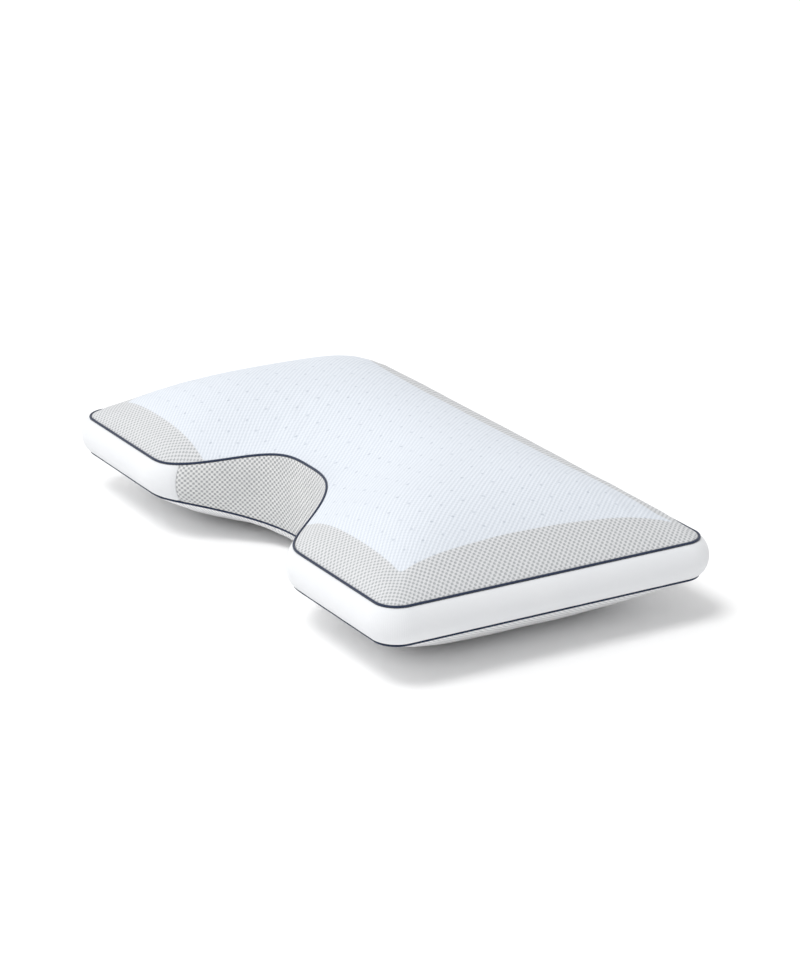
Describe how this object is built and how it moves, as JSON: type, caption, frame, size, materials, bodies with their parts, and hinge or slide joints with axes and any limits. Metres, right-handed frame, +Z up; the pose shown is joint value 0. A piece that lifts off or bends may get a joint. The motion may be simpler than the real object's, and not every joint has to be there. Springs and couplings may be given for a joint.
{
  "type": "contoured foam pillow with a shoulder cutout",
  "caption": "Rectangular foam bed pillow with crowned faces, piped boxed sides and a bell-shaped shoulder cutout in one long side.",
  "frame": {"origin": "middle of the bounding box's bottom, on the surface that the pillow lies on", "axes": "+X along the pillow, +Y away from the shoulder cutout, +Z up through its thickness"},
  "size_m": [0.66, 0.376, 0.1388],
  "materials": {
    "panel_mesh_knit": "matt mesh knit, pale blue in the middle and light grey at the edges",
    "white_knit": "smooth matt white knit",
    "spacer_mesh": "matt light grey spacer mesh with small holes",
    "navy_piping": "matt navy covered cord"
  },
  "bodies": {
    "root": {"pillow_body": "panel_mesh_knit", "side_band": "white_knit", "cutout_band": "spacer_mesh", "top_piping": "navy_piping", "bottom_piping": "navy_piping"}
  },
  "joints": []
}
